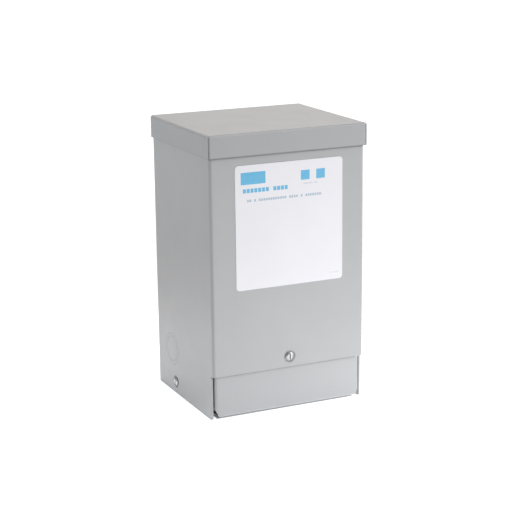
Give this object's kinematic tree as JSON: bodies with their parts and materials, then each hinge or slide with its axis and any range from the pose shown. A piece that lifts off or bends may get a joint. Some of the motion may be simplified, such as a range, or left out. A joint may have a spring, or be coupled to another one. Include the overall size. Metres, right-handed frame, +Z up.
{
  "type": "general purpose transformer",
  "caption": "Small wall-mounted dry transformer in a grey folded sheet steel case with a cap, a screwed bottom cover and rear mounting brackets.",
  "frame": {"origin": "on the floor under the middle of the overall box", "axes": "+Z up, +Y towards the wall behind, +X to the right seen from the front"},
  "size_m": [0.1438, 0.1244, 0.24],
  "materials": {
    "case_paint": "semi-gloss light grey baked enamel",
    "potting_compound": "cast dark compound, slightly rough",
    "label_film": "smooth white film with pale blue print",
    "plated_screw": "bright zinc plate"
  },
  "bodies": {
    "root": {"case_wrap": "case_paint", "back_panel": "case_paint", "top_cap": "case_paint", "bottom_cover": "case_paint", "potted_core_block": "potting_compound", "rating_label": "label_film", "upper_mount_bracket": "case_paint", "lower_mount_bracket": "case_paint", "front_screw": "plated_screw", "front_screw_nut": "plated_screw", "left_screw": "plated_screw", "right_screw": "plated_screw", "left_knockout_ring": "case_paint", "left_knockout_slug": "case_paint", "right_knockout_ring": "case_paint", "right_knockout_slug": "case_paint", "bottom_left_knockout_ring": "case_paint", "bottom_left_knockout_slug": "case_paint", "bottom_right_knockout_ring": "case_paint", "bottom_right_knockout_slug": "case_paint"}
  },
  "joints": []
}
